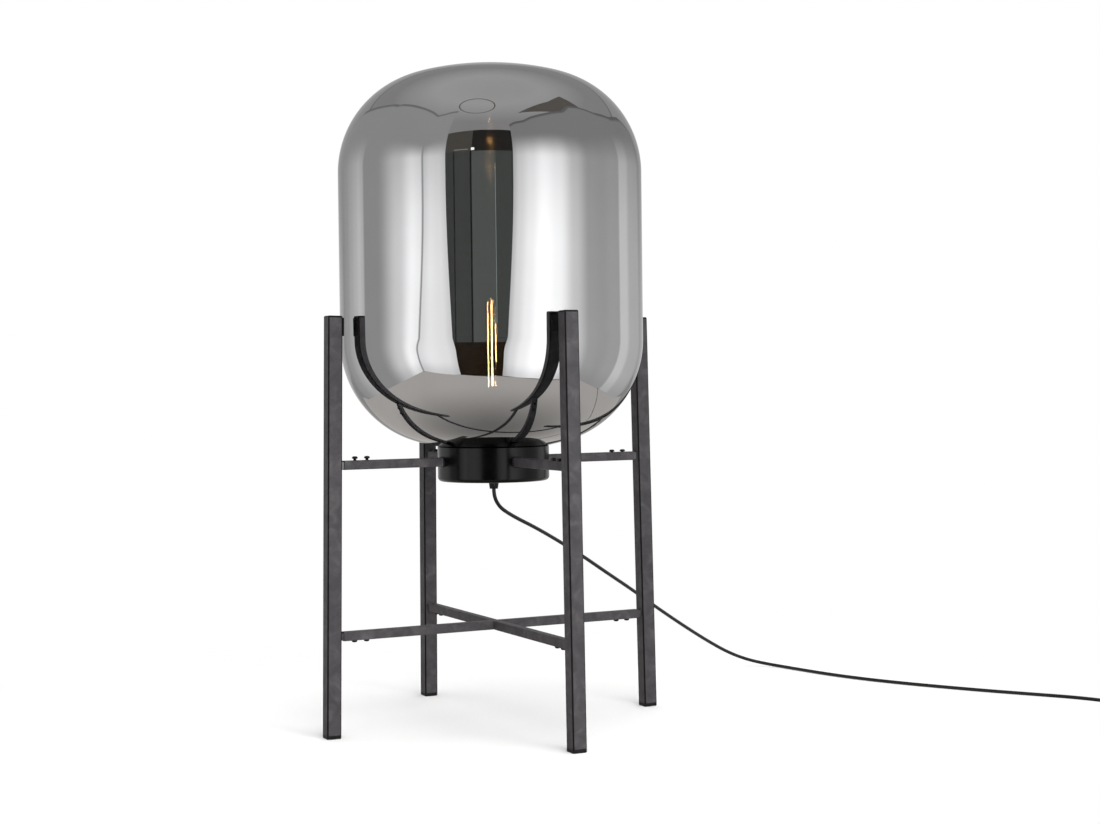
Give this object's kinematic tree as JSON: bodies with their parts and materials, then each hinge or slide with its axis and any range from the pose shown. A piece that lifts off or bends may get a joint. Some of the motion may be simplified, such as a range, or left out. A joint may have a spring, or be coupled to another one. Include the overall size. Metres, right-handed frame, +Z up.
{
  "type": "globe floor lamp",
  "caption": "Floor lamp: a smoked glass globe over a tubular filament bulb, seated in a round cup hung between square legs tied by a cross of bars, with a foot switch on its cord.",
  "frame": {"origin": "on the floor, under the globe's vertical axis, midway between the four feet", "axes": "+Z up; the four legs stand on +X (right), +Y (back), -X (left) and -Y (front); the cord leaves towards +X"},
  "size_m": [1.1663, 0.7421, 0.8961],
  "materials": {
    "leg_coat": "satin dark powder coat, softly mottled",
    "cup_coat": "satin black powder coat",
    "cap_plastic": "moulded, satin",
    "bumper_rubber": "matt",
    "gasket_silicone": "matt silicone",
    "black_screws": "blackened pan heads",
    "seat_coat": "satin black",
    "plated_steel": "zinc plated",
    "smoked_glass": "smoked glass with a half-mirror coating",
    "holder_plastic": "moulded thermoset",
    "holder_ceramic": "steatite insulator, matt",
    "brass": "bright",
    "cap_nickel": "nickel plated brass",
    "cap_insulator": "black vitrite glass",
    "solder": "dull solder",
    "bulb_clear_glass": "clear, faintly warm",
    "filament_wire": "glowing carbon-style filament and its wire anchors",
    "cord_sheath": "black PVC sheath, satin",
    "lead_insulation": "core insulation",
    "grip_plastic": "moulded",
    "switch_plastic": "moulded, satin gloss",
    "module_plastic": "moulded contact block",
    "plug_plastic": "moulded",
    "pin_metal": "nickel plated brass"
  },
  "bodies": {
    "frame": {"bumper_pads": "bumper_rubber", "centre_contact": "brass", "cord_coil": "cord_sheath", "cord_grip": "grip_plastic", "cord_riser": "cord_sheath", "cord_run": "cord_sheath", "cross_bar_left": "leg_coat", "cross_bar_long": "leg_coat", "cross_bar_right": "leg_coat", "cross_screws": "black_screws", "cup_shell": "cup_coat", "foot_caps": "cap_plastic", "glass_gasket": "gasket_silicone", "holder_base": "holder_plastic", "holder_core": "holder_ceramic", "holder_skirt": "holder_plastic", "holder_washer": "plated_steel", "lead_wires": "lead_insulation", "leg_back": "leg_coat", "leg_front": "leg_coat", "leg_left": "leg_coat", "leg_right": "leg_coat", "leg_top_caps": "cap_plastic", "plug_body": "plug_plastic", "plug_pins": "pin_metal", "screw_shell": "brass", "seat_plate": "seat_coat", "strut_back": "leg_coat", "strut_front": "leg_coat", "strut_left": "leg_coat", "strut_right": "leg_coat", "strut_screws": "black_screws", "switch_base": "switch_plastic", "switch_cover": "switch_plastic", "switch_module": "module_plastic", "switch_screws": "plated_steel", "threaded_tube": "plated_steel", "tube_nuts": "plated_steel"},
    "globe": {"glass_globe": "smoked_glass"},
    "bulb": {"bulb_cap": "cap_nickel", "bulb_insulator": "cap_insulator", "bulb_contact": "solder", "bulb_glass": "bulb_clear_glass", "bulb_stem": "bulb_clear_glass", "bulb_filament": "filament_wire", "filament_supports": "filament_wire"},
    "pedal": {"switch_pedal": "switch_plastic"}
  },
  "joints": [
    {"name": "glass_lift", "type": "slide", "parent": "frame", "child": "globe", "axis": [0, 0, 1], "range_m": [0, 0.245]},
    {"name": "bulb_unscrew", "type": "slide", "parent": "frame", "child": "bulb", "axis": [0, 0, 1], "range_m": [0, 0.024]},
    {"name": "pedal_press", "type": "slide", "parent": "frame", "child": "pedal", "axis": [0, 0, -1], "range_m": [0, 0.0025], "stiffness_N_per_m": 400, "springref_m": -0.002}
  ]
}
